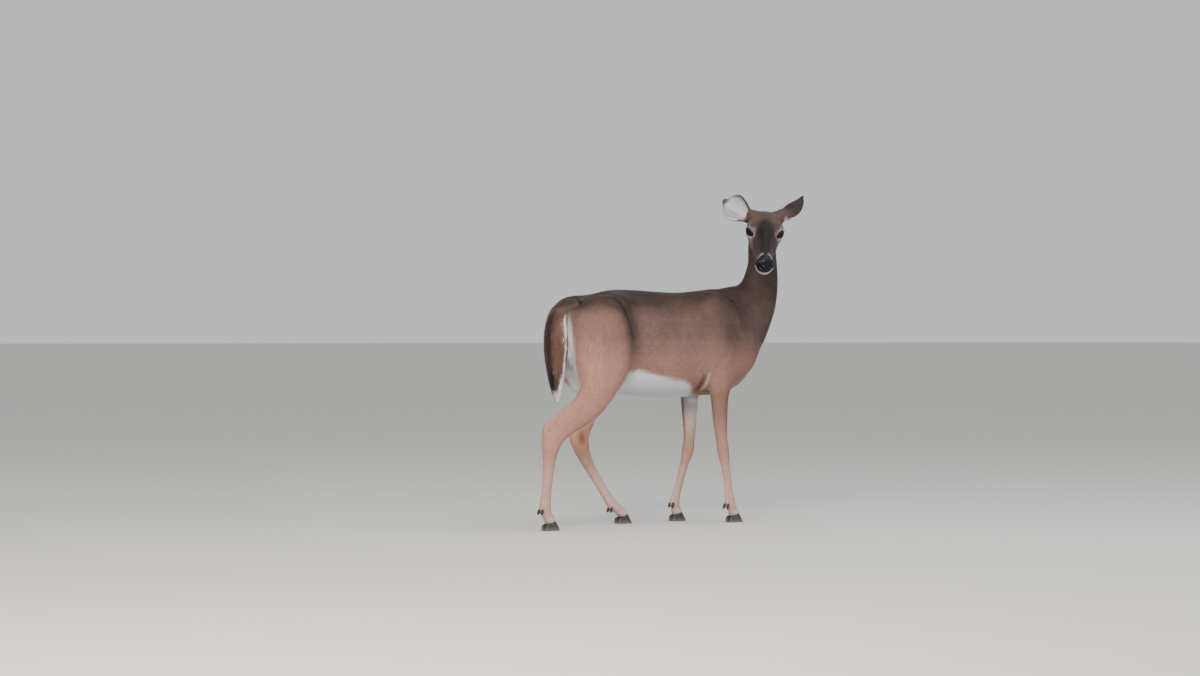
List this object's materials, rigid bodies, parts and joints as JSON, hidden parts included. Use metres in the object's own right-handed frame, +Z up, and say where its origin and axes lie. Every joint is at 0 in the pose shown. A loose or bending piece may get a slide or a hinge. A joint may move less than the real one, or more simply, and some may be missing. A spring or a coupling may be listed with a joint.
{
  "type": "white-tailed deer",
  "caption": "Still, life-size model of an antlerless white-tailed deer, standing in mid-step with its head turned back over the right shoulder.",
  "frame": {"origin": "centre of the animal's overall box, on the floor under its hooves", "axes": "+X the way the trunk faces, +Y the animal's left side, +Z up"},
  "size_m": [1.1125, 0.3947, 1.1269],
  "materials": {
    "coat": "short grey-brown hair",
    "leg_coat": "short tan hair",
    "tail_coat": "long brown hair with a white edge",
    "ear_coat": "fine grey hair, white inside",
    "eye": "wet black",
    "nose": "moist black, finely pebbled",
    "horn": "dark horn, satin"
  },
  "bodies": {
    "root": {"head": "coat", "neck": "coat", "trunk": "coat", "tail": "tail_coat", "fore_leg_left": "leg_coat", "fore_leg_right": "leg_coat", "hind_leg_left": "leg_coat", "hind_leg_right": "leg_coat", "ear_left": "ear_coat", "ear_right": "ear_coat", "eye_left": "eye", "eye_right": "eye", "nose_pad": "nose", "hoof_fore_left_inner": "horn", "dewclaw_fore_left_inner": "horn", "hoof_fore_left_outer": "horn", "dewclaw_fore_left_outer": "horn", "hoof_fore_right_inner": "horn", "dewclaw_fore_right_inner": "horn", "hoof_fore_right_outer": "horn", "dewclaw_fore_right_outer": "horn", "hoof_hind_left_inner": "horn", "dewclaw_hind_left_inner": "horn", "hoof_hind_left_outer": "horn", "dewclaw_hind_left_outer": "horn", "hoof_hind_right_inner": "horn", "dewclaw_hind_right_inner": "horn", "hoof_hind_right_outer": "horn", "dewclaw_hind_right_outer": "horn"}
  },
  "joints": []
}
